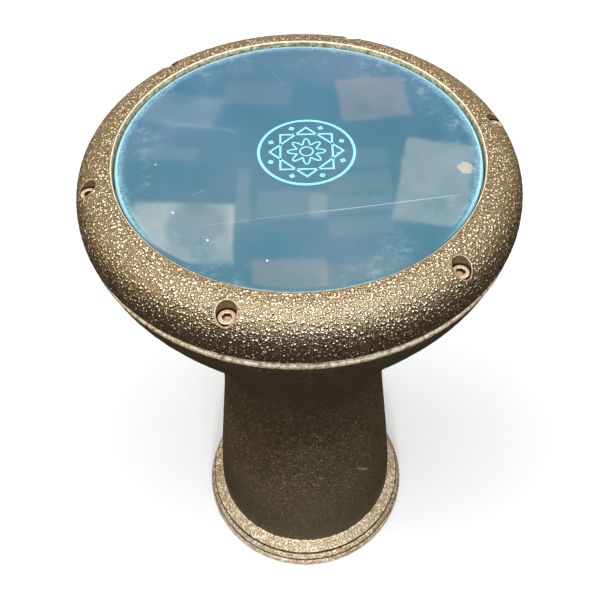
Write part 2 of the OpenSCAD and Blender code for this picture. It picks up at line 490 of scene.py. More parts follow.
class Material(Tree):
    """A material with one Principled shader. Colours and bumps read places on the object, in metres.

    place is a point's place, x, y and z are its parts, and radius is its distance from the drum's axis."""

    def __init__(self, name, **sockets):
        self.material = bpy.data.materials.new(name)
        self.material.use_nodes = True
        super().__init__(self.material.node_tree)
        self.shader = self.tree.nodes["Principled BSDF"]
        self.place = self.add("ShaderNodeTexCoord").outputs["Object"]
        self.x, self.y, self.z = self.add("ShaderNodeSeparateXYZ", {"Vector": self.place}).outputs
        self.radius = self.vector("LENGTH", self.vector("MULTIPLY", self.place, (1, 1, 0)))
        for key, value in sockets.items():
            self.join(value, self.shader.inputs[key.replace("_", " ")])

    def set(self, socket, value):
        self.join(value, self.shader.inputs[socket])

    def mottle(self, size, detail=2, roughness=0.5):
        """Noise from 0 to 1 over the object, in blotches of about size mm."""
        return self.noise(self.place, size * MM, detail, roughness)

    def wobble(self, size, reach, detail=3, roughness=0.5):
        """A length that varies over the object by up to about half of reach mm either way."""
        return self.times(self.minus(self.mottle(size, detail, roughness), 0.5), reach * MM)

    def flecks(self, pitch):
        """Distance from the nearest of flecks about pitch mm apart, in pitches, and its random numbers."""
        cells = self.cells(self.place, pitch * MM)
        return cells["Distance"], self.add("ShaderNodeSeparateColor", {"Color": cells["Color"]}).outputs

    def scratch(self, start, end, width, wander=0):
        """How strongly a thin scratch from start to end shows, from 0 to 1. All lengths are in mm."""
        start, end = Vector(start) * MM, Vector(end) * MM
        run, length = (end - start).normalized(), (end - start).length
        from_start = self.vector("SUBTRACT", self.drift(self.place, 4 * MM, 2, wander * MM), tuple(start))
        along = self.vector("DOT_PRODUCT", from_start, tuple(run))
        off = self.vector("LENGTH", self.vector("CROSS_PRODUCT", from_start, tuple(run)))
        ends = self.times(self.span(along, 0, 0.2 * length), self.span(along, length, 0.8 * length))
        return self.times(ends, self.span(off, width * MM, 0.4 * width * MM))

    def spot(self, at, radius, ragged=0):
        """A round spot at a place, with an edge that may be ragged. All lengths are in mm."""
        off = self.vector("DISTANCE", self.place, tuple(Vector(at) * MM))
        if ragged:
            off = self.plus(off, self.wobble(3, ragged, 4, 0.6))
        return self.span(off, radius * MM, 0.75 * radius * MM)

    def painted(self, colour, roughness, *layers):
        """The material, with its colour, roughness and bumps set."""
        self.set("Base Color", colour)
        self.set("Roughness", roughness)
        self.bumps(*layers)
        return self.material

    def bumps(self, *layers):
        """Bumps of (height, depth in metres), one over another."""
        normal = None
        for height, depth in layers:
            node = self.add("ShaderNodeBump", {"Height": height, "Distance": depth, "Strength": 1})
            if normal is not None:
                self.join(normal, node.inputs["Normal"])
            normal = node.outputs["Normal"]
        self.set("Normal", normal)


def press_pebbles(obj, pitch, depth):
    """Moves obj's surface down between the paint's pebbles, by up to depth, where its relief is above 0."""
    group = bpy.data.node_groups.new("pebble_relief", "GeometryNodeTree")
    for side in ("INPUT", "OUTPUT"):
        group.interface.new_socket("Geometry", in_out=side, socket_type="NodeSocketGeometry")
    t = Tree(group)
    source = t.add("NodeGroupInput").outputs[0]
    place = t.add("GeometryNodeInputPosition").outputs[0]
    normal = t.add("GeometryNodeInputNormal").outputs[0]
    weight = t.add("GeometryNodeInputNamedAttribute", {"Name": "relief"}, data_type="FLOAT").outputs[0]
    pit = t.times(t.minus(t.pebbles(place, pitch), 1), weight)
    offset = t.vector("SCALE", normal, scale=t.times(pit, depth))
    moved = t.add("GeometryNodeSetPosition", {"Geometry": source, "Offset": offset}).outputs[0]
    t.join(moved, t.add("NodeGroupOutput").inputs[0])
    modifier = obj.modifiers.new("relief", "NODES")
    modifier.node_group = group
    return bake_modifiers(obj)


# ---- materials


def hammertone(name, tones, pitch, relief, metallic, veined, wormy=0, smooth_at=None, worn=None):
    """Hammertone paint with metal flake: domes on a tan ground, with painted highlight on top and painted
    shade below.

    tones are screen colours of the ground, the veins, the slope and the top; the veins' dark is painted shade
    and the top's pale is painted highlight. wormy is how high the winding ridges between the domes are.
    smooth_at(material) says where the paint lies flat. worn(material, colour) may change the colour with
    wear, painted shade and highlights."""
    m = Material(name, IOR=1.5)
    ground, vein_shade, slope, top = (srgb(*tone) for tone in tones)
    elsewhere = m.vector("ADD", m.place, (0.31, 0.17, 0.23))
    small = m.times(m.pebbles(elsewhere, pitch * 0.7), 0.66)
    height = m.larger(m.pebbles(m.place, pitch), small)
    if wormy:
        swing = m.math("ABSOLUTE", m.minus(m.mottle(pitch / MM * 0.95, 1), 0.5))
        height = m.larger(height, m.times(m.span(swing, 0.07, 0), wormy))
    cobble = m.span(m.cells(m.place, pitch * 0.4)["Distance"], 0.72, 0.2)
    shine = metallic
    if smooth_at:
        flat = smooth_at(m)
        rough = m.minus(1, flat)
        height, cobble = m.times(height, rough), m.times(cobble, rough)
        shine = m.span(flat, 0, 1, metallic, metallic * 0.2)
    blotch = m.mottle(30, 3)
    grain = m.mottle(0.9, 3, 0.6)
    level = m.math("ADD", height, m.times(m.minus(grain, 0.5), 0.16), clamp=True)
    # The pale tops and the dark veins between them are painted highlight and painted shade on the domes
    colour = m.ramp(level, (0.04, ground), (0.14, vein_shade), (0.36, slope), (0.58, top))
    colour = m.mix(m.span(cobble, 0, 0.5, veined, 0), colour, vein_shade)
    colour = m.mix(m.span(blotch, 0.35, 0.7, 0, 0.3), colour, m.tinted(colour, (0.92, 0.82, 0.7)))
    if worn:
        colour = worn(m, colour)
    m.set("Metallic", shine)
    roughness = m.span(level, 0.2, 0.7, 0.38, 0.2, smoothly=False)
    return m.painted(colour, roughness, (cobble, relief * 0.35), (height, relief), (grain, 0.05 * MM))


def from_screw(m):
    """Distance in plan from the nearest screw's axis."""
    step = 2 * math.pi / len(SCREWS)
    turn = m.minus(m.math("ARCTAN2", m.y, m.x), screw_places()[0][2])
    turn = m.add("ShaderNodeMath", {0: turn, 1: -step / 2, 2: step / 2}, operation="WRAP").outputs[0]
    ahead = m.minus(m.times(m.radius, m.math("COSINE", turn)), SCREW_CIRCLE_R)
    aside = m.times(m.radius, m.math("SINE", turn))
    return m.math("SQRT", m.plus(m.times(ahead, ahead), m.times(aside, aside)))


def ring_smooth_at(m):
    """The lip's inner wall and the counterbores, where the ring's paint lies flat."""
    lip = m.span(m.radius, LIP_R + 1.6 * MM, LIP_R + 0.7 * MM)
    return m.larger(lip, m.span(from_screw(m), COUNTERBORE_R + 1.1 * MM, COUNTERBORE_R + 0.4 * MM))


def ring_wear_and_painted_light(m, colour):
    """The lip's olive inner wall, worn top and a smear, with painted highlights on the lip's top and the
    counterbores' pale edges, and painted shade on each counterbore's edge and wall, darker with depth.
    """
    inside = m.span(m.radius, LIP_R + 0.5 * MM, LIP_R + 0.2 * MM)
    mottle = m.mottle(3, 4, 0.6)
    colour = m.mix(inside, colour, m.ramp(mottle, (0.36, srgb(132, 116, 84)), (0.62, srgb(222, 212, 184))))
    # A pale line along the lip's top: worn paint with a painted highlight
    near_lip = m.span(m.plus(m.radius, m.wobble(5, 0.8)), LIP_R + 0.8 * MM, LIP_R + 0.4 * MM)
    lip_wear_and_highlight = m.times(near_lip, m.span(m.z, LIP_Z - 0.8 * MM, LIP_Z - 0.4 * MM))
    colour = m.mix(m.times(lip_wear_and_highlight, m.span(mottle, 0.3, 0.5, 0.55, 1)), colour, srgb(252, 240, 212))
    # Painted shade: a dark band at each counterbore's edge, and a wall that darkens with depth
    off = m.minus(from_screw(m), COUNTERBORE_R)
    deep = m.span(m.z, SCREW_TOP_Z + 1.6 * MM, SCREW_TOP_Z - 0.4 * MM)
    wall = m.mix(deep, srgb(108, 88, 56), srgb(30, 24, 16))
    colour = m.mix(m.span(off, 0.3 * MM, 0.15 * MM), colour, srgb(44, 34, 20))
    colour = m.mix(m.span(off, 0.1 * MM, 0.03 * MM), colour, wall)
    smear = m.scratch((38, -122, 425), (72, -110, 425), 4.5, 5)
    streaks = m.mottle(2, 4, 0.7)
    colour = m.mix(m.times(smear, m.span(streaks, 0.4, 0.6, 0.1, 0.6)), colour, srgb(176, 180, 184))
    # A patchy pale ring round each counterbore: paint build-up with a painted highlight
    line = m.span(m.math("ABSOLUTE", m.minus(off, 0.55 * MM)), 0.3 * MM, 0.12 * MM)
    patchy = m.times(line, m.span(streaks, 0.35, 0.6, 0, 0.5))
    return m.mix(patchy, colour, srgb(244, 232, 206))


def foot_groove_shade(m, colour):
    """Painted shade that darkens the foot ring's two grooves."""
    for groove_r, groove_z in GROOVES:
        aside, above = m.minus(m.radius, groove_r - 0.3 * MM), m.minus(m.z, groove_z - 0.9 * MM)
        squares = m.plus(m.times(aside, aside), m.times(above, above))
        colour = m.mix(m.span(m.math("SQRT", squares), 1.4 * MM, 1 * MM), colour, srgb(84, 56, 26))
    return colour


def dark_paint(name):
    """Near-black bronze paint with tiny flakes of several tones: the material and its colour."""
    m = Material(name, IOR=1.5, Metallic=0.35)
    cloud = m.mottle(40, 3)
    fine = m.mottle(2.4, 4, 0.65)
    base = m.ramp(fine, (0.34, srgb(56, 50, 35)), (0.5, srgb(80, 72, 53)), (0.66, srgb(108, 97, 72)))
    distance, luck = m.flecks(1.55)
    # Flakes crowd near one height: painted glints where the front light catches them
    zone = m.span(m.math("ABSOLUTE", m.minus(m.z, FLAKE_GLINTS_Z)), FLAKE_GLINTS_REACH, 0)
    share = m.minus(0.985, m.times(zone, m.span(cloud, 0.3, 0.65, 0.25, 0.8)))
    flake = m.times(m.math("GREATER_THAN", luck[0], share), m.span(distance, 0.42, 0.2))
    strength = m.times(m.times(flake, m.math("POWER", luck[1], 1.5)), 0.95)
    tint = m.ramp(luck[2], (0.1, srgb(206, 150, 122)), (0.4, srgb(252, 236, 208)), (0.9, srgb(206, 206, 170)))
    m.set("Roughness", m.span(cloud, 0.3, 0.7, 0.5, 0.6))
    m.bumps((m.pebbles(m.place, DARK_PITCH), 0.16 * MM), (fine, 0.12 * MM))
    return m, m.mix(strength, base, tint)


def bowl_material():
    """Dark paint, except for the rim strip under the tuning ring, whose outside is pale."""
    m, dark = dark_paint("bowl_paint")
    edge_z = m.plus(m.z, m.wobble(3, 0.8))
    on_rim = m.span(edge_z, RIM_Z - RIM_T + 0.1 * MM, RIM_Z - RIM_T + 0.5 * MM)
    outside = m.span(m.radius, RIM_R - 9 * MM, RIM_R - 7 * MM)
    worn = m.mottle(2.5, 4, 0.6)
    pale = m.ramp(worn, (0.34, srgb(132, 116, 84)), (0.5, srgb(226, 214, 188)), (0.66, srgb(250, 242, 222)))
    m.set("Base Color", m.mix(m.times(on_rim, outside), dark, pale))
    return m.material


def neck_material():
    """Dark paint, darker low down, with one pale scratch and foot paint that creeps up its end."""
    m, dark = dark_paint("neck_paint")
    mark = m.scratch((42.7, -59.5, 128), (56.7, -50.5, 108), 0.9, 5)
    colour = m.mix(m.times(mark, 0.8), dark, srgb(216, 206, 180))
    low = m.mix(m.span(m.z, 110 * MM, 40 * MM), (1, 1, 1), (0.64, 0.63, 0.57))
    edge_z = m.plus(m.z, m.wobble(3.2, 7))
    creep = m.span(edge_z, FOOT_H + 1.4 * MM, FOOT_H + 0.9 * MM)
    m.set("Base Color", m.mix(creep, m.tinted(colour, low), srgb(238, 222, 190)))
    return m.material


def film_material():
    """Glossy blue film: clouded inside, pale frost and a cyan painted highlight near its edge, dusty and
    scratched.
    """
    m = Material("head_film", IOR=1.5, Specular_IOR_Level=0.5)
    cloud = m.mottle(90, 3, 0.55)
    colour = m.ramp(cloud, (0.3, srgb(63, 104, 123)), (0.5, srgb(71, 111, 132)), (0.7, srgb(86, 115, 136)))
    colour = m.mix(m.span(m.y, -30 * MM, 50 * MM), colour, m.tinted(colour, (1.05, 1.03, 1.15)))
    # The edge, except at the front: a pale frost band that is partly painted highlight, and a cyan painted
    # highlight on the bend
    behind = m.span(m.y, -85 * MM, -30 * MM)
    edge_r = m.plus(m.radius, m.wobble(5, 7, 4, 0.7))
    frost_and_highlight = m.times(m.span(edge_r, FILM_R - 7 * MM, FILM_R - 1 * MM), behind)
    frost_and_highlight = m.times(frost_and_highlight, m.span(m.mottle(1.2, 3, 0.7), 0.35, 0.65, 0.1, 0.85))
    colour = m.mix(frost_and_highlight, colour, srgb(138, 186, 216))
    bend_r = m.plus(m.radius, m.wobble(5, 1, 4, 0.7))
    bend = m.times(m.span(bend_r, FILM_R - 2 * MM, FILM_R - 1.3 * MM), behind)
    colour = m.mix(m.times(bend, 0.85), colour, srgb(150, 216, 242))
    # Dust: fine pale grains and a haze that gather towards the edge
    distance, luck = m.flecks(0.9)
    zone = m.times(m.span(m.radius, 76 * MM, 107 * MM), m.span(m.mottle(22, 4, 0.6), 0.42, 0.65))
    share = m.minus(0.9985, m.times(m.times(zone, behind), 0.1))
    dust = m.times(m.math("GREATER_THAN", luck[0], share), m.span(distance, 0.34, 0.12))
    haze = m.times(zone, m.span(m.mottle(6, 5, 0.7), 0.42, 0.75))
    colour = m.mix(m.times(haze, 0.35), colour, srgb(158, 188, 204))
    colour = m.mix(m.times(dust, 0.5), colour, srgb(208, 226, 234))
    # Scratches, specks and a beige spot that is a painted reflection
    top = FILM_Z / MM
    for start, end, width, strength in FILM_SCRATCHES:
        mark = m.scratch((*start, top), (*end, top), width)
        colour = m.mix(m.times(mark, strength), colour, srgb(206, 222, 224))
    for at, radius in FILM_SPECKS:
        colour = m.mix(m.times(m.spot((*at, top), radius), 0.9), colour, srgb(236, 240, 236))
    # A beige spot: painted reflection
    beige_reflection = m.spot((99, -18, top), 5.5, 9)
    colour = m.mix(m.times(beige_reflection, 0.55), colour, srgb(182, 176, 164))
    return m.painted(colour, m.plus(m.times(haze, 0.3), 0.035), (m.mottle(45, 2), 0.08 * MM))


def ink_material():
    """The head's printed ornament: pale cyan ink, a little worn."""
    m = Material("emblem_ink")
    wear = m.mottle(2.2, 4, 0.7)
    colour = m.ramp(wear, (0.3, srgb(118, 206, 224)), (0.6, srgb(142, 230, 240)))
    return m.painted(colour, 0.35, (wear, 0.02 * MM))


def rust_material():
    """Screw heads whose plating has gone pinkish brown, with rust on the socket's floor and painted shade on
    its walls.
    """
    m = Material("screw_rusty_steel", Metallic=0.6)
    spots = m.mottle(1.4, 4, 0.65)
    face = m.ramp(spots, (0.3, srgb(164, 124, 100)), (0.5, srgb(214, 182, 158)), (0.72, srgb(248, 228, 210)))
    rust = m.ramp(spots, (0.3, srgb(128, 84, 58)), (0.5, srgb(184, 136, 102)), (0.7, srgb(244, 222, 194)))
    # Painted shade: the socket's walls dark above its rusty floor
    rust = m.mix(m.span(m.z, SCREW_TOP_Z - 3.1 * MM, SCREW_TOP_Z - 2.7 * MM), rust, srgb(52, 30, 18))
    deep = m.span(m.z, SCREW_TOP_Z - 0.3 * MM, SCREW_TOP_Z - 0.7 * MM)
    return m.painted(m.mix(deep, face, rust), m.span(spots, 0.3, 0.7, 0.6, 0.35), (spots, 0.08 * MM))


def turned_metal(name, low, high, roughness):
    """Plain metal with fine turning lines round the drum's axis and a few stains."""
    m = Material(name, Metallic=1)
    lines = m.add("ShaderNodeCombineXYZ", {"X": m.times(m.radius, 9), "Z": m.times(m.z, 9)})
    grooves = m.noise(lines.outputs[0], 2 * MM, 2)
    stains = m.mottle(14, 4)
    patchy = m.span(stains, 0.3, 0.7, roughness - 0.1, roughness + 0.1)
    return m.painted(m.ramp(stains, (0.3, low), (0.7, high)), patchy, (grooves, 0.04 * MM))


def resin_material():
    """Cast resin with small bubbles in its top."""
    m = Material("hoop_resin")
    colour = m.ramp(m.mottle(9, 3), (0.3, srgb(196, 178, 128)), (0.7, srgb(226, 212, 168)))
    bubbles = m.span(m.cells(m.place, 1.3 * MM)["Distance"], 0.1, 0.4)
    return m.painted(colour, 0.55, (bubbles, 0.1 * MM))


# ---- pieces


def put(obj, body, slot, material, *nodes):
    """Dresses a finished piece and fixes it to its body; it stands for the CAD nodes named last."""
    obj.data.materials.clear()
    obj.data.materials.append(material)
    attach(obj, body)
    if nodes:
        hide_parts(*nodes)
    return obj


def round_counterbores(obj):
    """Lets the painted crown swell a little round each counterbore and roll over its edge."""
    places = vertex_places(obj)
    relief = vertex_relief(obj)
    for x, y, _ in screw_places():
        off = np.hypot(places[:, 0] - x, places[:, 1] - y) - COUNTERBORE_R
        swell = 0.25 * MM * np.exp(-(((off - 1.1 * MM) / (0.9 * MM)) ** 2))
        roll = -0.4 * MM * np.clip(1 - off / (0.7 * MM), 0, 1) ** 2
        top = places[:, 2] > SCREW_SEAT_Z - 1 * MM
        painted = relief > 0
        places[:, 2] += np.where(top & painted, swell + roll, 0)
        relief *= np.where(top, np.clip(off / (1.5 * MM), 0, 1), 1)
    set_vertex_places(obj, places)
    obj.data.attributes["relief"].data.foreach_set("value", relief)


def tuning_ring():
    """The cast ring: a thin lip, a rounded crown, a tucked-in lower edge and counterbored screw holes."""
    belly_z = LIP_Z - BELLY_DROP
    inner_r = HOOP_R + HOOP_ROOM
    lip = [
        (LIP_R + LIP_ROUND * (1 - math.cos(a)), LIP_Z - LIP_ROUND * (1 - math.sin(a)))
        for a in np.linspace(0, math.pi / 2, 9)
    ]
    crown = quarter(LIP_R, belly_z, RING_R, LIP_Z, CROWN_POWER)
    crown = [p for p in crown if p[0] > LIP_R + LIP_ROUND + 0.2 * MM]
    tuck = quarter(TUCK_R, belly_z, RING_R, RING_BOTTOM_Z, TUCK_POWER)[::-1]
    shape = outline(
        *walls((LIP_R, HOOP_TOP_Z), (1.6, lip[0])),
        (lip, 0.3, 0),
        ([lip[-1]] + crown, 0.62, 1),
        (tuck, 0.75, 0.8),
        *walls(tuck[-1], (3, (inner_r, RING_BOTTOM_Z)), (5, (inner_r, HOOP_TOP_Z)), (3, (LIP_R, HOOP_TOP_Z))),
    )
    obj = revolve("tuning_ring_casting", shape, columns=1140)
    round_counterbores(obj)
    press_pebbles(obj, RING_PITCH, depth=0.2 * MM)
    holes = posts("holes", [
        (SCREW_HOLE_R, RING_BOTTOM_Z - 2 * MM), (SCREW_HOLE_R, SCREW_SEAT_Z),
        (COUNTERBORE_R, SCREW_SEAT_Z), (COUNTERBORE_R, LIP_Z + 4 * MM),
    ])
    combine(obj, holes, "DIFFERENCE")
    # The ring's tones: the veins' dark is painted shade and the top's pale is painted highlight
    tones = (156, 136, 107), (72, 57, 38), (190, 169, 139), (250, 238, 212)
    paint = hammertone("ring_hammertone", tones, RING_PITCH, relief=0.38 * MM, metallic=0.9, veined=0.45,
                       smooth_at=ring_smooth_at, worn=ring_wear_and_painted_light)
    return put(smooth(obj, 62), "ring", "ring_paint", paint, "tuning_ring")


def bowl():
    """The flared bowl, with a rim, a raised bearing edge and a boss with a pocket under each screw."""
    outer = [(RIM_R - RIM_STEP, RIM_Z - RIM_T), (RIM_R - RIM_STEP + 2.6 * MM, RIM_Z - RIM_T - 28 * MM),
             (NECK_R, FLARE_Z + 55 * MM), (NECK_R, FLARE_Z)]
    inner = cubic(*outer, inside=WALL, start=0.07) + [(NECK_R - WALL, SPIGOT_TOP_Z)]
    inner_r = BEARING_R - WALL
    round_r = 2.2 * MM
    chamfer = 0.7 * MM
    shape = outline(
        (quarter(BEARING_R - round_r, BEARING_Z - round_r, BEARING_R, BEARING_Z), 0.5, 0),
        *walls((BEARING_R, BEARING_Z - round_r), (4, (BEARING_R, RIM_Z)), (4, (RIM_R - chamfer, RIM_Z))),
        ([(RIM_R - chamfer, RIM_Z), (RIM_R, RIM_Z - chamfer), (RIM_R, RIM_Z - RIM_T)], 0.5, 0),
        *walls((RIM_R, RIM_Z - RIM_T), (0.6, outer[0])),
        (cubic(*outer) + [(NECK_R, JOINT_Z)], 1.55, 1),
        *walls((NECK_R, JOINT_Z), (2, (SPIGOT_R, JOINT_Z)), (6, (SPIGOT_R, SPIGOT_TOP_Z))),
        ([(SPIGOT_R, SPIGOT_TOP_Z)] + inner[::-1], 4, 0),
        *walls(inner[0], (4, (inner_r + 10 * MM, RIM_Z - 7 * MM)), (4, (inner_r, RIM_Z - 4 * MM)),
               (4, (inner_r, BEARING_Z)), (2, (BEARING_R - round_r, BEARING_Z))),
    )
    obj = revolve("bowl_casting", shape, columns=400)
    press_pebbles(obj, SWELL_PITCH, depth=0.16 * MM)
    combine(obj, screw_bosses(outer), "UNION")
    pockets = posts("pockets", [(INSERT_R, POCKET_Z), (INSERT_R, RIM_Z + 2 * MM)], spacing=4)
    combine(obj, pockets, "DIFFERENCE")
    return put(smooth(obj), "shell", "bowl_paint", bowl_material(), "bowl")


def screw_bosses(outer):
    """Posts under the rim for the inserts, cut off inside the bowl's outer curve."""
    bosses = posts("bosses", [(BOSS_R, POCKET_Z - 2.3 * MM), (BOSS_R, RIM_Z - 3 * MM)], spacing=4)
    low_z, high_z = POCKET_Z - 6 * MM, RIM_Z - 1 * MM
    core = [(0, low_z), (0, high_z), (RIM_R - RIM_STEP - 1 * MM, high_z)]
    core += [p for p in cubic(*outer, inside=1.2 * MM) if p[1] > low_z]
    core.append((core[-1][0], low_z))
    solid = revolve("core", outline((core, 4, 0)), columns=280, closed=False)
    return combine(bosses, solid, "INTERSECT")


def neck():
    """The neck: nearly straight at the top, wider below, with ends that fit into the bowl and the foot."""
    outer = [(NECK_R, JOINT_Z), (NECK_R + 0.9 * MM, JOINT_Z - 22 * MM),
             (NECK_FOOT_R + 0.5 * MM, FOOT_H + 30 * MM), (NECK_FOOT_R, FOOT_H)]
    inner_low = NECK_FOOT_R - WALL, SEAT_H
    shape = outline(
        *walls((SPIGOT_R, NECK_TOP_Z), (6, (SPIGOT_R, JOINT_Z)), (2, (NECK_R, JOINT_Z))),
        (cubic(*outer), 1.1, 1),
        *walls((NECK_FOOT_R, FOOT_H), (6, (NECK_FOOT_R, SEAT_H)), (3, inner_low)),
        ([inner_low] + cubic(*outer, inside=WALL)[::-1], 4, 0),
        *walls((NECK_R - WALL, JOINT_Z), (6, (NECK_R - WALL, NECK_TOP_Z)), (3, (SPIGOT_R, NECK_TOP_Z))),
    )
    obj = revolve("neck_casting", shape, columns=440)
    press_pebbles(obj, SWELL_PITCH, depth=0.14 * MM)
    return put(smooth(obj), "shell", "neck_paint", neck_material(), "neck")


def foot_ring():
    """The foot: three rounded steps with two dark grooves between them."""
    inner_r = NECK_FOOT_R - WALL
    groove_1, groove_2 = (np.array(groove) for groove in GROOVES)
    base_r = FOOT_R - 1.4 * MM
    chamfer = 0.8 * MM
    step = 0.62
    top = bead((NECK_FOOT_R, FOOT_H), groove_1 + [-0.5 * MM, 0.4 * MM], 0.5 * MM)
    middle = bead(groove_1 + [0.2 * MM, -1 * MM], groove_2 + [0, 0.6 * MM], 0.9 * MM)
    low = bead(groove_2 + [0.5 * MM, -1.3 * MM], (base_r, chamfer), 1.4 * MM)
    shape = outline(
        *walls((inner_r, 0), (3, (inner_r, SEAT_H)), (6, (NECK_FOOT_R, SEAT_H)), (8, (NECK_FOOT_R, FOOT_H))),
        (top, step, 1),
        ([top[-1], tuple(groove_1 + [-1.5 * MM, -1.1 * MM]), middle[0]], step, 0.1),
        (middle, step, 1),
        ([middle[-1], tuple(groove_2 + [-1.6 * MM, -0.2 * MM]), low[0]], step, 0.1),
        (low, step, 1),
        *walls((base_r, chamfer), (0.6, (base_r - chamfer, 0)), (6, (inner_r, 0))),
    )
    obj = revolve("foot_ring_casting", shape, columns=900)
    press_pebbles(obj, FOOT_PITCH, depth=0.5 * MM)
    # The foot's tones: the veins' dark is painted shade and the top's pale is painted highlight
    tones = (174, 152, 118), (106, 82, 52), (226, 209, 178), (255, 249, 232)
    paint = hammertone("foot_hammertone", tones, FOOT_PITCH, relief=0.9 * MM, metallic=0.4, veined=0.2,
                       wormy=0.85, worn=foot_groove_shade)
    return put(smooth(obj, 62), "shell", "foot_paint", paint, "foot_ring")


def film():
    """The film: flat, then bent over the bearing edge, with a skirt that meets the hoop."""
    skirt_r = FILM_R + 0.3 * MM
    bend = quarter(skirt_r - BEND_R, FILM_Z - BEND_R, skirt_r, FILM_Z)
    under = quarter(skirt_r - BEND_R, FILM_Z - BEND_R, skirt_r - FILM_T, FILM_Z - FILM_T)
    shape = outline(
        *walls((0, FILM_Z), (2.4, bend[0])),
        (bend, 0.2, 0),
        *walls(bend[-1], (1, (skirt_r, SKIRT_Z)), (1, (skirt_r - FILM_T, SKIRT_Z)), (1, under[-1])),
        (under[::-1], 0.4, 0),
        *walls(under[0], (4, (0, FILM_Z - FILM_T))),
    )
    obj = revolve("drumhead", shape, columns=256, closed=False)
    obj.data.materials.append(film_material())
    smooth(obj)
    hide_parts("drumhead_film")
    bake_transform(obj)
    return obj


def unit(rows):
    return rows / np.linalg.norm(rows, axis=1, keepdims=True)


def across(rows):
    """Each row's direction, turned a quarter to the left."""
    return np.stack([-rows[:, 1], rows[:, 0]], 1)


def stroke(points, width):
    """The left and right edges of a closed line of ink along points, with mitred corners."""
    points = np.array(points, float)
    before = unit(points - np.roll(points, 1, 0))
    after = unit(np.roll(points, -1, 0) - points)
    out = across(unit(before + after))
    reach = width / 2 / np.maximum(np.sum(out * across(before), 1), 0.35)
    return points + out * reach[:, None], points - out * reach[:, None]


def wavy_circle(radius, wave=0, petals=0, count=160):
    """Points round a circle whose radius swings by wave as often as it has petals."""
    points = []
    for t in (2 * math.pi * i / count for i in range(count)):
        r = radius + wave * math.cos(petals * t)
        points.append((r * math.cos(t), r * math.sin(t)))
    return points


def square(radius, turn, at=(0, 0)):
    turns = [turn + math.pi / 2 * i for i in range(4)]
    return [(at[0] + radius * math.cos(t), at[1] + radius * math.sin(t)) for t in turns]


def emblem():
    """A plain geometric rosette printed on the head: a ring, two crossed squares, petals and dots."""
    centre_x = 5 * MM
    bottom = FILM_Z - 0.02 * MM
    top = bottom + 0.06 * MM
    lines = [(wavy_circle(29.2 * MM), 1.7 * MM)]
    lines += [(square(22.5 * MM, turn), 1.2 * MM) for turn in (0, math.pi / 4)]
    lines.append((wavy_circle(9 * MM, 2.6 * MM, 8), 1 * MM))
    lines.append((wavy_circle(4 * MM, count=48), 0.9 * MM))
    for i in range(8):
        turn = math.pi / 8 + i * math.pi / 4
        at = 23.5 * MM * math.cos(turn), 23.5 * MM * math.sin(turn)
        lines.append((square(1.3 * MM, turn, at), 1 * MM))
    vertices, faces = [], []
    for points, width in lines:
        first, count = len(vertices), len(points)
        for side in stroke(points, width):
            for z in (top, bottom):
                vertices.extend((x + centre_x, y, z) for x, y in side)
        a, b, c, d = (first + k * count for k in range(4))
        for i in range(count):
            j = (i + 1) % count
            faces.extend([
                [a + i, c + i, c + j, a + j], [b + i, b + j, d + j, d + i],
                [a + i, a + j, b + j, b + i], [c + i, d + i, d + j, c + j],
            ])
    return put(mesh_object("head_rosette", vertices, faces), "shell", "head_film", ink_material())


def screw(index, name, x, y):
    """A socket head screw: knurled head, hexagon socket and a helical thread."""
    head_r, chamfer, dish = 4.9 * MM, 0.5 * MM, 0.25 * MM
    shank_r, tip_chamfer, pitch, thread_depth = 3 * MM, 0.6 * MM, 1 * MM, 0.5 * MM
    knurl_depth = 0.16 * MM
    tip_z, top_z = SCREW_TIP_Z, SCREW_TOP_Z
    neck_z = SCREW_SEAT_Z - 3 * MM
    thread, knurl = 1, 2
    shape = outline(
        *walls((0, tip_z), (1.2, (shank_r - tip_chamfer, tip_z)), (0.3, (shank_r, tip_z + tip_chamfer))),
        ([(shank_r, tip_z + tip_chamfer), (shank_r, neck_z)], 0.2, thread),
        *walls((shank_r, neck_z), (1.5, (shank_r, SCREW_SEAT_Z)), (1, (head_r, SCREW_SEAT_Z))),
        ([(head_r, SCREW_SEAT_Z), (head_r, top_z - chamfer - 0.4 * MM)], 1.3, knurl),
        (quarter(head_r - chamfer, top_z - chamfer, head_r, top_z)[::-1], 0.2, 0),
        ([(head_r - chamfer, top_z), (3 * MM, top_z), (2.7 * MM, top_z - dish)], 0.4, 0),
        *walls((2.7 * MM, top_z - dish), (1.3, (0, top_z - dish))),
    )
    obj = revolve(name + "_screw", shape, columns=96, closed=False)
    places, kind = vertex_places(obj).astype(float), vertex_relief(obj)
    turn = np.arctan2(places[:, 1], places[:, 0])
    radius = np.hypot(places[:, 0], places[:, 1])
    rise = (places[:, 2] / pitch - turn / (2 * math.pi)) % 1
    groove = thread_depth * np.clip(1.25 - 2.5 * np.abs(rise - 0.5), 0, 1)
    ridge = knurl_depth * (np.arange(len(places)) % 3 == 0)
    shrink = np.where(kind == thread, groove, np.where(kind == knurl, ridge, 0))
    scale = np.where(radius > 1e-6, (radius - shrink) / np.maximum(radius, 1e-6), 1)
    places[:, :2] *= scale[:, None]
    set_vertex_places(obj, places)
    combine(obj, hexagon_socket(2.5 * MM / math.cos(math.pi / 6)), "DIFFERENCE")
    obj.data.transform(Matrix.Translation((x, y, 0)) @ Matrix.Rotation(0.9 + 0.37 * index, 4, "Z"))
    return smooth(obj, 32)


def hexagon_socket(radius):
    """The hollow in a screw's head: six sides and a floor like a drill's tip."""
    floor_r, floor_z, above_z = radius * 0.8, SCREW_TOP_Z - 3.2 * MM, SCREW_TOP_Z + 1 * MM
    corners = (floor_r, floor_z), (radius, floor_z), (radius, above_z), (0, above_z)
    shape = outline(*walls((0, SCREW_TOP_Z - 4.4 * MM), *((20, corner) for corner in corners)))
    return revolve("socket", shape, columns=6, closed=False)


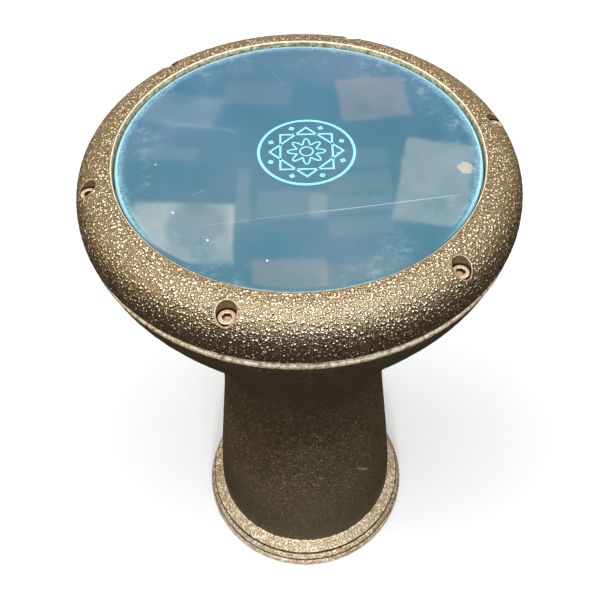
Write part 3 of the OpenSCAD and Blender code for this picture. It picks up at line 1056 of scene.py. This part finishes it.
def screws():
    """The six tuning screws, each on its own body."""
    rust = rust_material()
    bodies = {n: b for b, names in frame["record"]["behaviour"]["bodies"].items() for n in names}
    for index, (name, (x, y, _)) in enumerate(zip(SCREWS, screw_places())):
        put(screw(index, name, x, y), bodies[name], "screw_steel", rust, name)


def dress_hidden_nodes():
    """Materials for the CAD nodes that stay as they are."""
    looks = {
        "head_hoop": turned_metal("hoop_metal", srgb(150, 150, 152), srgb(205, 206, 208), 0.35),
        "hoop_resin": resin_material(),
    }
    steel = turned_metal("insert_steel", srgb(120, 118, 112), srgb(176, 174, 168), 0.4)
    looks.update({name: steel for name in INSERTS})
    for name, material in looks.items():
        mesh = frame["nodes"][name].data
        mesh.materials.clear()
        mesh.materials.append(material)


# ---- stage, light and camera


def stage_plane(name, centre, width, depth, material):
    """A level plane, which is no part of the drum."""
    w, d = width / 2, depth / 2
    corners = [(-w, -d, 0), (w, -d, 0), (w, d, 0), (-w, d, 0)]
    obj = mesh_object(name, [tuple(Vector(c) + Vector(centre)) for c in corners], [[0, 1, 2, 3]])
    obj.data.materials.append(material)
    return obj


def floor():
    """A white floor that is seen and takes the drum's shadow, and glows more away from the drum."""
    m = Material("floor_white", Base_Color=(0.75, 0.81, 0.9, 1), Roughness=1, Specular_IOR_Level=0,
                 Emission_Color=(1, 1, 1, 1))
    m.set("Emission Strength", m.span(m.radius, 0.34, 1, 0, 0.6))
    plane = stage_plane("floor", (0, 0, -0.2 * MM), 30, 30, m.material)
    plane.visible_diffuse = False
    plane.visible_glossy = False


def glow_card(name, centre, width, depth, paint, strength):
    """A level card that is seen only in shiny surfaces. paint(tree) gives the colour that it glows in."""
    material = bpy.data.materials.new(name + "_glow")
    material.use_nodes = True
    t = Tree(material.node_tree)
    t.tree.nodes.clear()
    light = t.add("ShaderNodeEmission", {"Color": paint(t), "Strength": strength})
    t.join(light.outputs[0], t.add("ShaderNodeOutputMaterial").inputs["Surface"])
    card = stage_plane(name, centre, width, depth, material)
    card.visible_camera = False
    card.visible_diffuse = False
    card.visible_shadow = False


def reflected_room():
    """A card overhead that paints the room's reflection on the film, as the camera sees it."""
    height = 1.5
    reach = (height - FILM_Z) / (CAMERA_AT.z - FILM_Z)
    middle = -reach * CAMERA_AT.xy
    size = 2 * (1 + reach) * FILM_R

    def paint(t):
        place = t.vector("SUBTRACT", t.add("ShaderNodeTexCoord").outputs["Object"], (*middle, height))
        place = t.vector("SCALE", place, scale=1 / (1 + reach) / MM)
        total = (0, 0, 0)
        for x, y, half_w, half_h, turn, light, soft in ROOM_PATCHES:
            aside = t.vector("SUBTRACT", place, (x, y, 0))
            turned = t.add("ShaderNodeVectorRotate", {"Vector": aside, "Angle": math.radians(-turn)})
            split = t.add("ShaderNodeSeparateXYZ", {"Vector": turned.outputs[0]}).outputs
            across_x = t.span(t.math("ABSOLUTE", split["X"]), half_w + soft, half_w - soft)
            across_y = t.span(t.math("ABSOLUTE", split["Y"]), half_h + soft, half_h - soft)
            total = t.vector("ADD", total, t.vector("SCALE", light, scale=t.times(across_x, across_y)))
        mottle = t.span(t.noise(place, 14, 4, 0.6), 0.3, 0.7, 0.82, 1.14)
        total = t.vector("SCALE", total, scale=mottle)
        for x, y, radius, left in ROOM_SHADES:
            off = t.vector("DISTANCE", t.vector("MULTIPLY", place, (1, 1, 0)), (x, y, 0))
            total = t.vector("SCALE", total, scale=t.span(off, radius - 2, radius + 2, left, 1))
        return total

    glow_card("reflected_room", (*middle, height), size, size, paint, 1)


def front_sky():
    """A pale card high in front that lights up the ring's crown."""
    glow_card("front_sky", (0.15, -0.95, 1.7), 1.5, 1.3, lambda t: (0.84, 1.02, 1.24, 1), 5)


def camera():
    """Above and in front of the drum, looking down at the head."""
    data = bpy.data.cameras.new("camera")
    data.sensor_width = 36
    data.lens = CAMERA_LENS
    data.clip_start, data.clip_end = 0.05, 50
    obj = new_object("camera", data)
    place = Matrix.Translation(CAMERA_AT)
    for angle, axis in (CAMERA_YAW, "Z"), (90 - CAMERA_DOWN, "X"), (CAMERA_ROLL, "Z"):
        place = place @ Matrix.Rotation(math.radians(angle), 4, axis)
    obj.matrix_world = place
    bpy.context.scene.camera = obj


def lamp(data, at, aim, power, colour=(1, 1, 1)):
    """Hangs up a lamp at a place, aimed at another."""
    data.energy = power
    data.color = colour
    obj = new_object(data.name, data)
    obj.location = at
    obj.rotation_euler = (Vector(aim) - obj.location).to_track_quat("-Z", "Y").to_euler()
    return obj


def area_light(name, at, aim, size, power, colour):
    data = bpy.data.lights.new(name, "AREA")
    data.shape = "RECTANGLE"
    data.size, data.size_y = size
    return lamp(data, at, aim, power, colour)


def foot_light():
    """A narrow lamp low in front that lights the foot ring and a little of the neck."""
    data = bpy.data.lights.new("foot_lamp", "SPOT")
    data.spot_size = math.radians(15)
    data.spot_blend = 0.6
    data.shadow_soft_size = 0.1
    lamp(data, (0, -1.1, 0.3), (0, -0.05, -0.02), 50)


def world():
    """White to the camera; for the drum, a room that is light overhead and behind, and dark low in front."""
    scene = bpy.context.scene
    scene.world = bpy.data.worlds.new("room")
    scene.world.use_nodes = True
    t = Tree(scene.world.node_tree)
    t.tree.nodes.clear()
    direction = t.add("ShaderNodeTexCoord").outputs["Generated"]
    up = t.vector("DOT_PRODUCT", direction, (0, 0.33, 0.94))
    room = t.ramp(t.span(up, -1, 1, 0, 1, smoothly=False),
                  (0, (0.05, 0.044, 0.036)), (0.48, (0.016, 0.014, 0.011)), (0.57, (0.64, 0.5, 0.36)),
                  (0.75, (1, 0.84, 0.63)), (1, (0.7, 0.7, 0.7)))
    seen = t.add("ShaderNodeBackground", {"Color": (1, 1, 1, 1), "Strength": 1})
    lit = t.add("ShaderNodeBackground", {"Color": room, "Strength": 1})
    is_camera = t.add("ShaderNodeLightPath").outputs["Is Camera Ray"]
    both = t.add("ShaderNodeMixShader", {0: is_camera, 1: lit.outputs[0], 2: seen.outputs[0]})
    t.join(both.outputs[0], t.add("ShaderNodeOutputWorld").inputs["Surface"])


def stage():
    scene = bpy.context.scene
    scene.view_settings.view_transform = "Standard"
    scene.view_settings.look = "None"
    world()
    floor()
    target = (0, 0, LIP_Z)
    area_light("ceiling", (0, -0.25, 2.1), target, (1.3, 0.9), 27, (0.97, 1, 0.98))
    window = area_light("front_window", (0.1, -1.7, 1.2), (0, 0, 0.15), (1.2, 0.7), 13, (1, 0.96, 0.88))
    window.visible_glossy = False
    front_sky()
    foot_light()
    area_light("left_window", (-1.6, -0.2, 1.3), target, (0.7, 0.9), 6, (1, 0.86, 0.7))
    reflected_room()


camera()
tuning_ring()
bowl()
neck()
foot_ring()
film()
emblem()
screws()
dress_hidden_nodes()
stage()
